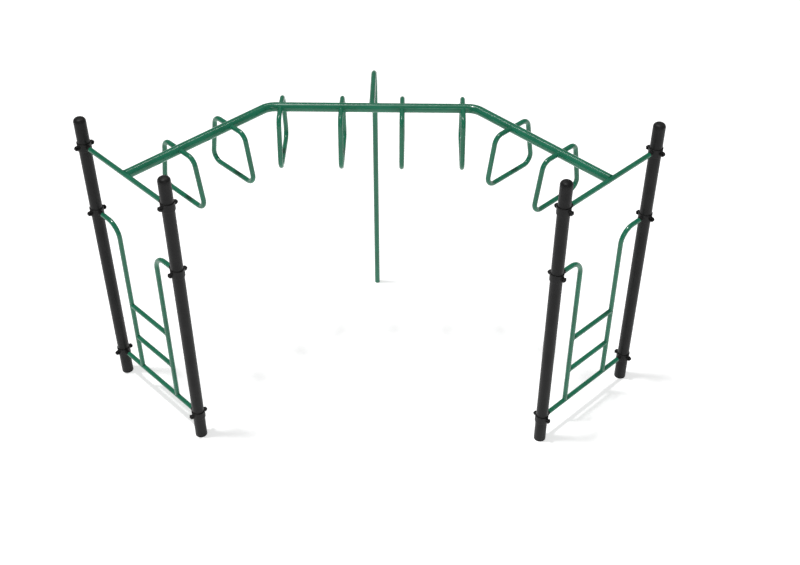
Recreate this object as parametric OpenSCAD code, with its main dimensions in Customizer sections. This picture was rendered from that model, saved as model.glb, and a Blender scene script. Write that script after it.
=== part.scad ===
// Overhead ladder for a playground: a bent overhead beam with hanging hand loops,
// carried by a ladder between two posts at each end and by a support pole behind.
// Millimetres, +Z up. The origin is on the ground under the middle of the whole frame.

/* [Posts] */
// Outside diameter of a post
post_od = 88.9; // [70:0.1:115]
// Wall thickness of a post
post_wall = 3.05; // [2:0.05:6]
// Length of a post, from the ground to the underside of its cap
post_h = 2355; // [2250:0.5:2900]
// Distance between the centres of the two posts at one end
post_pitch = 981; // [840:1:1400]

/* [Post caps] */
// Height of the straight band below the rounded edge of a cap
cap_band_h = 2; // [1:0.5:10]
// Radius of the rounded edge of a cap
cap_edge_r = 28; // [10:1:32]
// Angle at which the crown of a cap meets the rounded edge
cap_crown_angle = 20; // [10:1:40]
// Depth of the skirt that fits inside the post
cap_skirt_h = 30; // [20:1:60]
// Thickness of the skirt
cap_skirt_wall = 3.5; // [2:0.5:6]

/* [Overhead beam] */
// Outside diameter of the beam
beam_od = 69; // [55:0.5:90]
// Wall thickness of the beam
beam_wall = 3.6; // [2:0.1:6]
// Height of the centreline of the beam
beam_z = 2154; // [2000:1:2230]
// Length of the middle run of the beam, between the corners of its centreline
beam_mid_len = 1510; // [1400:1:2200]
// Length of each side run, from the corner to the centre of the top bar
beam_side_len = 1250; // [1050:1:1800]
// Angle by which each side run turns towards the front
beam_turn = 45; // [30:1:60]
// Radius of the two bends, on the centreline
beam_bend_r = 130; // [110:1:200]
// Distance from the end of the beam to the centre of the top bar
beam_end_gap = 8; // [4:1:12]

/* [Hand loops] */
// Outside diameter of a loop tube
loop_od = 36.5; // [30:0.1:42]
// Wall thickness of a loop tube
loop_wall = 2.4; // [1.5:0.1:4]
// Width of a loop at the beam, between the corners of its centreline
loop_top_w = 336; // [290:1:420]
// Width of a loop at its grip, between the corners of its centreline
loop_grip_w = 487; // [430:1:620]
// Drop from the beam's centreline to the grip's centreline
loop_drop = 396; // [320:1:480]
// Radius of the corner bends, on the centreline
loop_bend_r = 70; // [55:1:80]
// Distance from one loop to the next, along the beam's centreline
loop_pitch = 443; // [360:1:455]

/* [End ladders] */
// Outside diameter of the bars, rails and rungs
bar_od = 36.5; // [30:0.1:42]
// Wall thickness of the bars, rails and rungs
bar_wall = 2.4; // [1.5:0.1:4]
// Height of the top bar, which carries the beam
top_bar_z = 2160; // [2000:1:2240]
// Height of the foot bar
foot_bar_z = 222; // [150:1:300]
// Distance between the centres of the two rails
rail_pitch = 453; // [300:1:480]
// Height of the level arm at the top of a rail
rail_arm_z = 1598; // [1300:1:1700]
// Radius of the bend in a rail, on the centreline
rail_bend_r = 116; // [80:1:140]
// Height of the lower rung
rung_z = 533; // [450:1:620]
// Distance between the two rungs
rung_pitch = 318; // [240:1:400]

/* [Centre support] */
// Outside diameter of the support pole
support_od = 42.2; // [38:0.1:60]
// Wall thickness of the support pole
support_wall = 3.2; // [2:0.1:6]
// Distance from the beam to the pole's upright
support_setback = 606; // [400:1:900]
// Radius of the bend at the top of the pole, on the centreline
support_bend_r = 150; // [100:1:200]

/* [Post clamps] */
// Height of a clamp's collar
clamp_h = 64; // [50:1:90]
// Thickness of a clamp's collar
clamp_wall = 6; // [4:0.5:9]
// Width of the split between the two halves of a clamp
clamp_split = 2; // [1:0.5:4]
// Thickness of one lug, from the split to its bolting face
lug_t = 9; // [6:0.5:14]
// Radius of the rounded end of a lug
lug_r = 17; // [14:0.5:20]
// Distance from the outside of the post to the centre of a clamp bolt
bolt_offset = 16.5; // [16:0.5:26]
// Length of the round boss that a tube end meets, beyond the collar
pad_rise = 24; // [12:0.5:32]
// Length of the spigot that fits inside a tube end
spigot_len = 30; // [20:1:45]

/* [Fasteners] */
// Diameter of a clamp bolt
bolt_d = 9.5; // [8:0.5:10]
// Diameter of the domed bolt head
bolt_head_d = 18; // [16:0.5:20]
// Height of the domed bolt head
bolt_head_h = 5.2; // [4:0.1:7]
// Distance across the flats of a cap nut
nut_af = 14.3; // [13:0.1:16]
// Height of the hexagon of a cap nut
nut_h = 8; // [6:0.5:10]
// Outside diameter of a washer
washer_d = 19; // [17:0.5:20]
// Thickness of a washer
washer_t = 1.6; // [1:0.1:2.5]
// Diameter of a rivet's shank
rivet_d = 4.8; // [4:0.1:6.4]
// Diameter of a rivet's head
rivet_head_d = 9.5; // [8:0.1:12]

/* [Fits] */
// Gap at a welded joint, between a coped tube end and the tube it meets
weld_gap = 0.3; // [0.1:0.1:0.8]
// Gap between parts that slide together: collar on post, spigot in tube, skirt in post
slide_fit = 0.3; // [0.1:0.1:0.8]
// Radial clearance of a bolt or rivet in its hole
hole_fit = 0.4; // [0.1:0.1:1]

/* [Hidden] */
$fn = 48;
over = 1; // how far a cutting tool runs past the face it cuts
bend_lap = 2; // how far a straight run reaches into the bend that it meets
bend_swell = 0.2; // how much larger a bend's radius is, so that it takes the straight's end

SIDES = ["left", "right"];
PLACES = ["front", "rear"];
LEVELS = ["top", "middle", "bottom"];
HALVES = ["inner", "outer"];

post_r = post_od / 2;
bar_r = bar_od / 2;

loop_count = 8;
mid_half = beam_mid_len / 2;
bend_run = beam_bend_r * tan(beam_turn / 2);
bend_saving = 2 * bend_run - beam_bend_r * beam_turn * PI / 180;
rivet_inset = spigot_len / 2;

collar_r = post_r + slide_fit + clamp_wall;
bolt_y = post_r + bolt_offset;
lug_face = clamp_split / 2 + lug_t;
lug_chamfer = lug_t / 6;
pad_face = collar_r + pad_rise;
tube_seat = pad_face + slide_fit;
spigot_r = bar_r - bar_wall - slide_fit;
rung_heights = [rung_z, rung_z + rung_pitch];
level_heights = [top_bar_z, rail_arm_z, foot_bar_z];

end_x = mid_half + beam_side_len * cos(beam_turn);
end_y = -beam_side_len * sin(beam_turn);
clamp_reach = (bolt_y + lug_r) * sin(beam_turn) + (lug_face - lug_chamfer) * cos(beam_turn);
rear_edge = support_setback + support_od / 2;
front_edge = end_y - post_pitch / 2 * cos(beam_turn) - clamp_reach;
beam_y = -(rear_edge + front_edge) / 2;

cap_crown_r = (post_r - cap_edge_r) / sin(cap_crown_angle) + cap_edge_r;
cap_crown_edge = post_r - cap_edge_r + cap_edge_r * sin(cap_crown_angle);
cap_crown_drop = (post_r - cap_edge_r) / tan(cap_crown_angle);

POST_NAMES = [for (side = SIDES) for (place = PLACES) str(side, "_", place)];
LOOP_NAMES = [for (i = [1:loop_count]) str("hand_loop_", i)];
CLAMP_NAMES = [
    for (post = POST_NAMES) for (level = LEVELS) for (half = HALVES)
        str("clamp_", post, "_", level, "_", half)
];

// Colours of the powder coats and of the fasteners.
GREEN = [0.13, 0.42, 0.30];
CHARCOAL = [0.17, 0.17, 0.18];
BLACK = [0.06, 0.06, 0.07];

// ---- Bent tubes: each lies in the XY plane along a list of corner points ----

function unit(v) = v / norm(v);
function heading(a, b) = atan2(b.y - a.y, b.x - a.x);
function turn_at(p, i) =
    let (a = unit(p[i] - p[i - 1]), b = unit(p[i + 1] - p[i]))
    atan2(a.x * b.y - a.y * b.x, a * b);
function run_in(p, i, r) = r * tan(abs(turn_at(p, i)) / 2);
function stretched(p, extra) =
    let (last = len(p) - 1)
    [for (i = [0:last])
        i == 0 ? p[0] + unit(p[0] - p[1]) * extra
        : i == last ? p[last] + unit(p[last] - p[last - 1]) * extra
        : p[i]];

// How far from corner i a straight run stops: nothing at the two ends of the path.
function stop_short(p, i, r) = i == 0 || i == len(p) - 1 ? 0 : run_in(p, i, r) - bend_lap;

module straight_run(p, i, r, d) {
    way = unit(p[i + 1] - p[i]);
    start = p[i] + way * stop_short(p, i, r);
    length = norm(p[i + 1] - p[i]) - stop_short(p, i, r) - stop_short(p, i + 1, r);
    translate([start.x, start.y, 0])
        rotate([0, 90, heading(p[i], p[i + 1])])
            cylinder(h = length, d = d);
}

module bend(p, i, r, d) {
    turn = turn_at(p, i);
    side = sign(turn);
    way = unit(p[i] - p[i - 1]);
    centre = p[i] - way * run_in(p, i, r) + side * r * [-way.y, way.x];
    first = heading(p[i - 1], p[i]) - side * 90 + min(turn, 0);
    translate([centre.x, centre.y, 0])
        rotate([0, 0, first])
            rotate_extrude(angle = abs(turn))
                translate([r, 0]) circle(r = d / 2 + bend_swell);
}

module bent_rod(p, r, d) {
    for (i = [0:len(p) - 2]) straight_run(p, i, r, d);
    if (len(p) > 2)
        for (i = [1:len(p) - 2]) bend(p, i, r, d);
}

module bent_tube(p, r, od, wall) {
    difference() {
        bent_rod(p, r, od);
        bent_rod(stretched(p, over), r, od - 2 * wall);
    }
}

// A cutting rod along X, for coping a tube end to the tube that it meets.
module cope_along_x(length, d) {
    rotate([0, 90, 0]) cylinder(h = length, d = d + 2 * weld_gap, center = true);
}

// ---- Places: the frame of one end, of one post, of one clamp and of one loop ----

function post_y(place) = (place == "front" ? -1 : 1) * post_pitch / 2;
function level_z(level) = level_heights[search([level], LEVELS)[0]];

// X points out along the beam, Y from the front post to the rear post.
module at_end(side) {
    mirror([side == "left" ? 1 : 0, 0, 0])
        translate([end_x, beam_y + end_y, 0])
            rotate([0, 0, -beam_turn])
                children();
}

module at_post(side, place) {
    at_end(side) translate([0, post_y(place), 0]) children();
}

// X points along the tube, away from the post, and the lugs lie along Y.
module at_clamp(side, place, level) {
    at_post(side, place)
        translate([0, 0, level_z(level)])
            rotate([0, 0, place == "front" ? 90 : -90])
                children();
}

module at_every_clamp() {
    for (side = SIDES) for (place = PLACES) for (level = LEVELS)
        at_clamp(side, place, level) children();
}

module at_every_bolt() {
    at_every_clamp()
        for (y = [-bolt_y, bolt_y]) translate([0, y, 0]) children();
}

// The loops are counted from the left, and hang square to the beam.
module at_loop(i) {
    along = (i - (loop_count + 1) / 2) * loop_pitch;
    past = abs(along) - mid_half + bend_saving;
    x = mid_half + past * cos(beam_turn);
    if (past < 0)
        translate([along, beam_y, beam_z]) children();
    else
        mirror([along < 0 ? 1 : 0, 0, 0])
            translate([x, beam_y - past * sin(beam_turn), beam_z])
                rotate([0, 0, -beam_turn]) children();
}

// ---- Posts and caps ----

module post(side, place) {
    color(CHARCOAL)
    at_post(side, place)
        difference() {
            cylinder(h = post_h, d = post_od);
            translate([0, 0, -over]) cylinder(h = post_h + 2 * over, d = post_od - 2 * post_wall);
            cap_rivet_hole(place);
        }
}

module cap_outline() {
    square([post_r, cap_band_h]);
    translate([post_r - cap_edge_r, cap_band_h])
        intersection() {
            circle(r = cap_edge_r);
            square(cap_edge_r);
        }
    intersection() {
        translate([0, cap_band_h - cap_crown_drop]) circle(r = cap_crown_r);
        square([cap_crown_edge, post_r]);
    }
}

module post_cap(side, place) {
    skirt_r = post_r - post_wall - slide_fit;
    hollow_r = skirt_r - cap_skirt_wall;
    color(CHARCOAL)
    at_post(side, place)
        difference() {
            translate([0, 0, post_h]) {
                rotate_extrude() cap_outline();
                translate([0, 0, -cap_skirt_h]) cylinder(h = cap_skirt_h, r = skirt_r);
            }
            translate([0, 0, post_h - cap_skirt_h - over])
                cylinder(h = cap_skirt_h + over + cap_band_h, r = hollow_r);
            cap_rivet_hole(place);
        }
}

// ---- Fasteners: each is drawn with its head above Z = 0 and its shank below ----

module dome(d, h) {
    ball_r = (d * d / 4 + h * h) / (2 * h);
    intersection() {
        translate([0, 0, h - ball_r]) sphere(r = ball_r);
        cylinder(h = h, d = d);
    }
}

module rivet(grip) {
    tail_h = rivet_d / 2;
    dome(rivet_head_d, rivet_head_d / 4);
    translate([0, 0, -grip - tail_h]) cylinder(h = grip + tail_h, d = rivet_d);
    translate([0, 0, -grip - tail_h]) cylinder(h = tail_h, d = rivet_d * 1.4);
}

module drive_pin(grip) {
    dome(rivet_head_d, rivet_head_d / 4);
    translate([0, 0, -grip]) cylinder(h = grip, d = rivet_d);
}

module clamp_bolt() {
    length = 2 * lug_face + washer_t + nut_h;
    socket_d = bolt_d * 0.6;
    difference() {
        union() {
            dome(bolt_head_d, bolt_head_h);
            translate([0, 0, -length]) cylinder(h = length, d = bolt_d);
        }
        translate([0, 0, bolt_head_h / 3])
            cylinder(h = bolt_head_h, d = socket_d, $fn = 6);
    }
}

module washer() {
    difference() {
        cylinder(h = washer_t, d = washer_d);
        translate([0, 0, -over])
            cylinder(h = washer_t + 2 * over, r = bolt_d / 2 + hole_fit);
    }
}

module cap_nut() {
    across_corners = nut_af / cos(30);
    difference() {
        union() {
            intersection() {
                cylinder(h = nut_h, d = across_corners, $fn = 6);
                dome(across_corners + 1, nut_h * 1.6);
            }
            dome(nut_af - 1, nut_h + nut_af * 0.45);
        }
        translate([0, 0, -over]) cylinder(h = nut_h + 2 * over, r = bolt_d / 2 + 0.1);
    }
}

// The cap rivets sit on the side of a post that faces away from the ladder.
module at_cap_rivet(place) {
    translate([0, 0, post_h - cap_skirt_h / 2])
        rotate([place == "front" ? 90 : -90, 0, 0])
            translate([0, 0, post_r])
                children();
}

module cap_rivet_hole(place) {
    at_cap_rivet(place)
        translate([0, 0, -post_r / 2])
            cylinder(h = post_r / 2 + over, r = rivet_d / 2 + hole_fit / 2);
}

module cap_rivets() {
    color(CHARCOAL)
    for (side = SIDES) for (place = PLACES)
        at_post(side, place)
            at_cap_rivet(place)
                rivet(post_wall + slide_fit + cap_skirt_wall + 0.5);
}

// ---- Clamps ----

module collar() {
    edge_r = clamp_wall / 3;
    rotate_extrude()
        union() {
            translate([post_r + slide_fit, -clamp_h / 2])
                square([clamp_wall - edge_r, clamp_h]);
            translate([post_r + slide_fit, -clamp_h / 2 + edge_r])
                square([clamp_wall, clamp_h - 2 * edge_r]);
            for (z = [-1, 1])
                translate([collar_r - edge_r, z * (clamp_h / 2 - edge_r)])
                    circle(r = edge_r);
        }
}

// The pair of lugs that both halves of a clamp are cut from.
module lugs() {
    for (y = [-1, 1]) {
        translate([0, y * bolt_y, 0]) {
            rotate([0, 90, 0])
                cylinder(h = 2 * (lug_face - lug_chamfer), r = lug_r, center = true);
            for (x = [-1, 1])
                rotate([0, x * 90, 0])
                    translate([0, 0, lug_face - lug_chamfer])
                        cylinder(h = lug_chamfer, r1 = lug_r, r2 = lug_r - lug_chamfer);
        }
        translate([0, y * (bolt_y + post_r) / 2, 0])
            cube([2 * (lug_face - lug_chamfer), bolt_offset, 2 * lug_r], center = true);
    }
}

module spigot() {
    rotate([0, 90, 0]) {
        cylinder(h = pad_face, r = bar_r + 1);
        cylinder(h = pad_face + spigot_len, r = spigot_r);
    }
}

module clamp_half(half) {
    // The inner half keeps the side of +X, where the tube is.
    keep = half == "inner" ? 1 : -1;
    reach = pad_face + spigot_len + over;
    difference() {
        union() {
            collar();
            lugs();
            if (half == "inner") spigot();
        }
        cylinder(h = clamp_h + 2 * over, r = post_r + slide_fit, center = true);
        translate([keep * (clamp_split / 2 - reach / 2), 0, 0])
            cube([reach, 2 * reach + clamp_h, clamp_h + 2 * over], center = true);
        for (y = [-bolt_y, bolt_y])
            translate([0, y, 0])
                rotate([0, 90, 0])
                    cylinder(h = 2 * lug_face + 2 * over, r = bolt_d / 2 + hole_fit, center = true);
        if (half == "inner") tube_rivet_hole();
    }
}

module clamp(side, place, level, half) {
    color(BLACK) at_clamp(side, place, level) clamp_half(half);
}

module clamp_bolts() {
    color(BLACK) at_every_bolt() translate([-lug_face, 0, 0]) rotate([0, -90, 0]) clamp_bolt();
}

module clamp_washers() {
    color(BLACK) at_every_bolt() translate([lug_face, 0, 0]) rotate([0, 90, 0]) washer();
}

module clamp_nuts() {
    color(BLACK)
    at_every_bolt() translate([lug_face + washer_t, 0, 0]) rotate([0, 90, 0]) cap_nut();
}

// ---- The pins that hold a tube end on its spigot, driven up from below ----

module at_tube_rivet() {
    translate([tube_seat + rivet_inset, 0, -bar_r]) rotate([180, 0, 0]) children();
}

module tube_rivet_hole() {
    at_tube_rivet()
        translate([0, 0, -bar_r])
            cylinder(h = bar_r + over, r = rivet_d / 2 + hole_fit / 2);
}

module tube_rivets() {
    color(GREEN) at_every_clamp() at_tube_rivet() drive_pin(bar_r - bar_wall);
}

// The holes for those pins in the two tube ends at one level.
module tube_end_holes(side, level, places = PLACES) {
    for (place = places) at_clamp(side, place, level) tube_rivet_hole();
}

// ---- Bars, rails and rungs of the end ladders ----

// A level tube across one end, from clamp to clamp.
module cross_bar(side, level) {
    half = post_pitch / 2 - tube_seat;
    color(GREEN)
    difference() {
        at_end(side)
            translate([0, 0, level_z(level)])
                rotate([0, 0, 90])
                    bent_tube([[-half, 0], [half, 0]], 0, bar_od, bar_wall);
        tube_end_holes(side, level);
    }
}

// An upright that stands on the foot bar and turns level to its post.
module rail(side, place) {
    y = rail_pitch / 2;
    arm_end = post_pitch / 2 - tube_seat;
    color(GREEN)
    difference() {
        at_end(side)
            mirror([0, place == "front" ? 1 : 0, 0])
                difference() {
                    rotate([90, 0, 90])
                        bent_tube([[y, foot_bar_z], [y, rail_arm_z], [arm_end, rail_arm_z]],
                            rail_bend_r, bar_od, bar_wall);
                    translate([0, y, foot_bar_z])
                        rotate([0, 0, 90]) cope_along_x(2 * bar_od, bar_od);
                }
        tube_end_holes(side, "middle", [place]);
    }
}

module rung(side, z) {
    color(GREEN)
    at_end(side)
        translate([0, 0, z])
            difference() {
                rotate([0, 0, 90])
                    bent_tube([[-rail_pitch / 2, 0], [rail_pitch / 2, 0]], 0, bar_od, bar_wall);
                for (y = [-1, 1])
                    translate([0, y * rail_pitch / 2, 0])
                        cylinder(h = 2 * bar_od, d = bar_od + 2 * weld_gap, center = true);
            }
}

// ---- Beam, loops and support ----

function beam_path(short) =
    let (
        run = beam_side_len - short,
        x = mid_half + run * cos(beam_turn),
        y = -run * sin(beam_turn)
    )
    [[-x, y], [-mid_half, 0], [mid_half, 0], [x, y]];

module overhead_beam() {
    // The ends are closed by a plate of the beam's own wall thickness.
    color(GREEN)
    difference() {
        translate([0, beam_y, beam_z])
            difference() {
                bent_rod(beam_path(beam_end_gap), beam_bend_r, beam_od);
                bent_rod(beam_path(beam_end_gap + beam_wall), beam_bend_r, beam_od - 2 * beam_wall);
            }
        for (side = SIDES)
            at_end(side)
                translate([0, 0, top_bar_z]) rotate([0, 0, 90]) cope_along_x(2 * beam_od, bar_od);
    }
}

module hand_loop(i) {
    top = loop_top_w / 2;
    grip = loop_grip_w / 2;
    color(GREEN)
    at_loop(i)
        difference() {
            rotate([90, 0, 90])
                bent_tube([[0, 0], [top, 0], [grip, -loop_drop], [-grip, -loop_drop], [-top, 0], [0, 0]],
                    loop_bend_r, loop_od, loop_wall);
            cope_along_x(2 * beam_od, beam_od);
        }
}

module centre_support() {
    color(GREEN)
    translate([0, beam_y, 0])
        difference() {
            rotate([90, 0, 90])
                bent_tube([[support_setback, 0], [support_setback, beam_z], [0, beam_z]],
                    support_bend_r, support_od, support_wall);
            translate([0, 0, beam_z]) cope_along_x(2 * beam_od, beam_od);
        }
}

// ---- The pieces ----

for (side = SIDES) for (place = PLACES) {
    post(side, place);
    post_cap(side, place);
    rail(side, place);
    for (level = LEVELS) for (half = HALVES)
        clamp(side, place, level, half);
}
for (side = SIDES) {
    cross_bar(side, "top");
    cross_bar(side, "bottom");
    rung(side, rung_heights[0]);
    rung(side, rung_heights[1]);
}
for (i = [1:loop_count])
    hand_loop(i);
overhead_beam();
centre_support();
cap_rivets();
clamp_bolts();
clamp_washers();
clamp_nuts();
tube_rivets();
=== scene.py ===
import math

import bmesh
import bpy
from mathutils import Matrix, Vector


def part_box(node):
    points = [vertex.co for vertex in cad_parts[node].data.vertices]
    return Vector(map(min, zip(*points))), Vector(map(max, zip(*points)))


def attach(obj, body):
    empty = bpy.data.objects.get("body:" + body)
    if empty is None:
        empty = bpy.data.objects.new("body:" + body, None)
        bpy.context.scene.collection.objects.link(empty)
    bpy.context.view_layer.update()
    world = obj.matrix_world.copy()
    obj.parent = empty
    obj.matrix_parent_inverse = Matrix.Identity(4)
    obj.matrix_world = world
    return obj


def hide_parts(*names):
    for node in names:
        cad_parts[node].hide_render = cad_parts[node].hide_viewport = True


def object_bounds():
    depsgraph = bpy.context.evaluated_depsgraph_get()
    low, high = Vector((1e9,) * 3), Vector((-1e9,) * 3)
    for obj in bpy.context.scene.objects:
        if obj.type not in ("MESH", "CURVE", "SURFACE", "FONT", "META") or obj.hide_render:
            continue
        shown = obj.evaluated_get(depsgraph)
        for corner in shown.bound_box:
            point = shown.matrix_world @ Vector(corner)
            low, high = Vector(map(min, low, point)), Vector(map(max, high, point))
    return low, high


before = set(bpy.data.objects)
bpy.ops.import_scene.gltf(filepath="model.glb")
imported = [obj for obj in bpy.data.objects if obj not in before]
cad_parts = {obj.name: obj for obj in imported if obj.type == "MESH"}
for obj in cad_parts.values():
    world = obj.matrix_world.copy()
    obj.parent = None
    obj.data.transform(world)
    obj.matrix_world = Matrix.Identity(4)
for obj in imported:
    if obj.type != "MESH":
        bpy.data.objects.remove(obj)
cad_low, cad_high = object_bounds()

# ---------------------------------------------------------------- sizes, in metres
MM = 0.001

POST_WALL = 3.05 * MM
BEAM_WALL = 3.6 * MM
TUBE_WALL = 2.4 * MM
SUPPORT_WALL = 3.2 * MM

BEAM_BEND = 130 * MM
LOOP_BEND = 70 * MM
RAIL_BEND = 116 * MM
SUPPORT_BEND = 150 * MM
BEAM_END_GAP = 8 * MM

LOOP_TOP_WIDTH = 336 * MM
LOOP_GRIP_WIDTH = 487 * MM
LOOP_DROP = 396 * MM
RAIL_PITCH = 453 * MM

POST_FOOT_INNER_CHAMFER = 0.6 * MM
POST_FOOT_CHAMFER = 0.8 * MM
CAP_BAND = 2 * MM
CAP_EDGE = 28 * MM
CAP_EDGE_STEPS = 12
CAP_CROWN_ANGLE = 20
CAP_CROWN_STEPS = 10
CAP_TIP_ANGLE = 89.6
CAP_UNDERSIDE = 0.5
CAP_UNDERSIDE_LIFT = 0.2 * MM
SEAM = 0.7 * MM

CLAMP_HEIGHT = 64 * MM
CLAMP_WALL = 6 * MM
CLAMP_SPLIT = 2 * MM
LUG_THICKNESS = 9 * MM
LUG_RADIUS = 17 * MM
BOLT_OFFSET = 16.5 * MM
BOSS_LENGTH = 24 * MM
SPIGOT_LENGTH = 30 * MM
CAP_SKIRT = 30 * MM

BOLT_RADIUS = 4.75 * MM
BOLT_HEAD_RADIUS = 9 * MM
BOLT_HEAD_HEIGHT = 5.2 * MM
BOLT_HEAD_RIM = 0.3 * MM
BOLT_HEAD_SEAT = 0.1 * MM
SOCKET_FLAT = BOLT_RADIUS * 0.55
SOCKET_MOUTH = SOCKET_FLAT * 1.3
SOCKET_CORNER = SOCKET_FLAT * 1.2
SOCKET_TOP = BOLT_HEAD_HEIGHT * 0.93
SOCKET_FLOOR = BOLT_HEAD_HEIGHT * 0.3
NUT_FLAT = 7.15 * MM
NUT_HEIGHT = 8 * MM
NUT_CAP = 6 * MM
NUT_CAP_INSET = 0.6 * MM
NUT_FOOT_CUT = 0.4 * MM
NUT_FOOT_RISE = 0.3 * MM
NUT_FOOT_TOP = 0.9 * MM
NUT_SHOULDER = 1.3 * MM
NUT_SHOULDER_TOP = 0.2 * MM
WASHER_RADIUS = 9.5 * MM
WASHER_THICKNESS = 1.6 * MM
WASHER_FIT = 0.4 * MM
WASHER_EDGE = 0.35 * MM
RIVET_HEAD_RADIUS = 4.75 * MM
RIVET_HEAD_RIM = 0.2 * MM
RIVET_SHANK = 2.4 * MM
RIVET_DEPTH = 2 * MM
EDGE = 0.6 * MM
LUG_CHAMFER = 1.5 * MM
BOSS_RIM = 1 * MM
SPIGOT_INSET = 0.8 * MM

CAST_VOXEL = 1.6 * MM
CAST_SOFTENING = 4
CAST_DENSITY = 0.4
COLLAR_STEPS = 48
COLLAR_EDGE_STEPS = 4
LUG_STEPS = 16

SLIDE_FIT = 0.3 * MM
WELD_GAP = 0.3 * MM
WELD_RADIUS = 3.2 * MM
WELD_RIPPLE = 3.4 * MM
WELD_BEAT = 5
WELD_SIDES = 8
WELD_FLATNESS = 0.62
WELD_SWELL = 0.14
WELD_SAMPLES = 240
WELD_STEPS = 24

TUBE_SIDES = 40
BEAM_SIDES = 64
POST_SIDES = 72
SMALL_SIDES = 48
BOLT_SIDES = 36
RIVET_SIDES = 32
BOLT_DOME_STEPS = 16
NUT_DOME_STEPS = 10
RIVET_DOME_STEPS = 8
BEND_STEP = 5
BEAM_BEND_STEP = 3
SUPPORT_BEND_STEP = 4
PLATE_CHAMFER = 0.8 * MM
PLATE_INSET = 0.3 * MM
SAME_POINT = 0.001 * MM
SOFT_EDGE_ANGLE = 38
FASTENER_EDGE_ANGLE = 32

SIDES = ("left", "right")
PLACES = ("front", "rear")
LEVELS = ("top", "middle", "bottom")
LOOPS = range(1, 9)
UP = Vector((0, 0, 1))
ORIGIN = Vector((0, 0, 0))


# ---------------------------------------------------------------- places, from the frame
def middle(node):
    low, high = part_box(node)
    return (low + high) / 2


def half_height(node):
    low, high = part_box(node)
    return (high.z - low.z) / 2


def flat(point, z):
    return Vector((point.x, point.y, z))


post_at = {(s, p): flat(middle(f"post_{s}_{p}"), 0) for s in SIDES for p in PLACES}
post_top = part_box("post_left_front")[1].z
post_radius = (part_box("post_left_front")[1].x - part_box("post_left_front")[0].x) / 2
tube_radius = half_height("top_bar_left")
beam_radius = half_height("overhead_beam")
support_radius = (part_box("centre_support")[1].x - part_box("centre_support")[0].x) / 2
beam_z = middle("overhead_beam").z
beam_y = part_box("overhead_beam")[1].y - beam_radius
level_z = {
    "top": middle("top_bar_left").z,
    "middle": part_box("rail_left_front")[1].z - tube_radius,
    "bottom": middle("foot_bar_left").z,
}
collar_radius = post_radius + SLIDE_FIT + CLAMP_WALL
boss_face = collar_radius + BOSS_LENGTH
tube_seat = boss_face + SLIDE_FIT
bolt_distance = post_radius + BOLT_OFFSET
lug_face = CLAMP_SPLIT / 2 + LUG_THICKNESS


class End:
    """One end of the frame: its middle, and the ways across it, out along the beam, and up."""

    def __init__(self, side):
        front, rear = post_at[side, "front"], post_at[side, "rear"]
        self.side = side
        self.middle = (front + rear) / 2
        self.half = (rear - front).length / 2
        self.across = (rear - front).normalized()
        out = self.across.cross(UP)
        self.out = out if out.x * self.middle.x > 0 else -out

    def at(self, across, z):
        return flat(self.middle + self.across * across, z)

    def corner(self):
        """Where the beam's side run would meet its middle run."""
        steps = (beam_y - self.middle.y) / self.out.y
        return flat(self.middle + self.out * steps, beam_z)

    def inward(self, place):
        """From a post towards the other post of the same end."""
        return self.across if place == "front" else -self.across


ends = {side: End(side) for side in SIDES}
rail_half = RAIL_PITCH / 2


# ---------------------------------------------------------------- finishes
PIT_FINENESS = 3.1
PIT_SHARE = 0.25
PEEL_HEIGHT = 0.2 * MM
DRIFT_SCALE = 7.0
DRIFT_BAND = (0.3, 0.7)
DRIFT_ROUGHNESS = 0.10
COAT_ROUGHNESS = 0.09
DUST_COLOUR = (0.42, 0.40, 0.36)
DUST_SLOPE = (0.35, 1.0)
DUST_PATCH_SCALE = 22.0
DUST_PATCH_BAND = (0.35, 0.8)
DUST_ROUGHNESS = 0.5
SCRATCH_STRETCHES = ((900, 60, 60), (60, 900, 90), (70, 80, 900))
SCRATCH_BAND = (0.70, 0.76)
SCUFF_PATCH_SCALE = 9.0
SCUFF_PATCH_BAND = (0.52, 0.66)
SCUFF_ROUGHNESS = 0.25
GRAIN_SCALE = 900.0
GRAIN_DEPTH = 0.15
GRAIN_HEIGHT = 0.1 * MM
STEEL_SCUFF = 0.6
STEEL_ROUGHNESS = 0.28
STEEL_ROUGHNESS_SPREAD = 0.2
STEEL_METALLIC = 0.85


def node_group(name, inputs, outputs):
    """A new shader group with its named sockets, and its input and output nodes."""
    group = bpy.data.node_groups.new(name, "ShaderNodeTree")
    for label, kind, value in inputs:
        socket = group.interface.new_socket(label, in_out="INPUT", socket_type="NodeSocket" + kind)
        if value is not None:
            socket.default_value = value
    for label, kind in outputs:
        group.interface.new_socket(label, in_out="OUTPUT", socket_type="NodeSocket" + kind)
    return group, group.nodes.new("NodeGroupInput"), group.nodes.new("NodeGroupOutput")


def link(tree, source, target):
    tree.links.new(source, target)


def math_node(tree, operation, first, second=None, third=None):
    """One step of arithmetic; each value is a number or a socket."""
    node = tree.nodes.new("ShaderNodeMath")
    node.operation = operation
    for socket, value in zip(node.inputs, (first, second, third)):
        if value is None:
            continue
        if isinstance(value, (int, float)):
            socket.default_value = value
        else:
            link(tree, value, socket)
    return node.outputs[0]


def noise(tree, place, scale, detail=2.0, roughness=0.5):
    """Even noise from 0 to 1; scale is a number or a socket."""
    node = tree.nodes.new("ShaderNodeTexNoise")
    node.inputs["Detail"].default_value = detail
    node.inputs["Roughness"].default_value = roughness
    link(tree, place, node.inputs["Vector"])
    if isinstance(scale, (int, float)):
        node.inputs["Scale"].default_value = scale
    else:
        link(tree, scale, node.inputs["Scale"])
    return node.outputs["Fac"]


def band(tree, value, low, high):
    """0 below low, 1 above high, and a smooth rise between."""
    node = tree.nodes.new("ShaderNodeMapRange")
    node.interpolation_type = "SMOOTHSTEP"
    for socket, number in (("From Min", low), ("From Max", high)):
        node.inputs[socket].default_value = number
    link(tree, value, node.inputs["Value"])
    return node.outputs["Result"]


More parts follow.
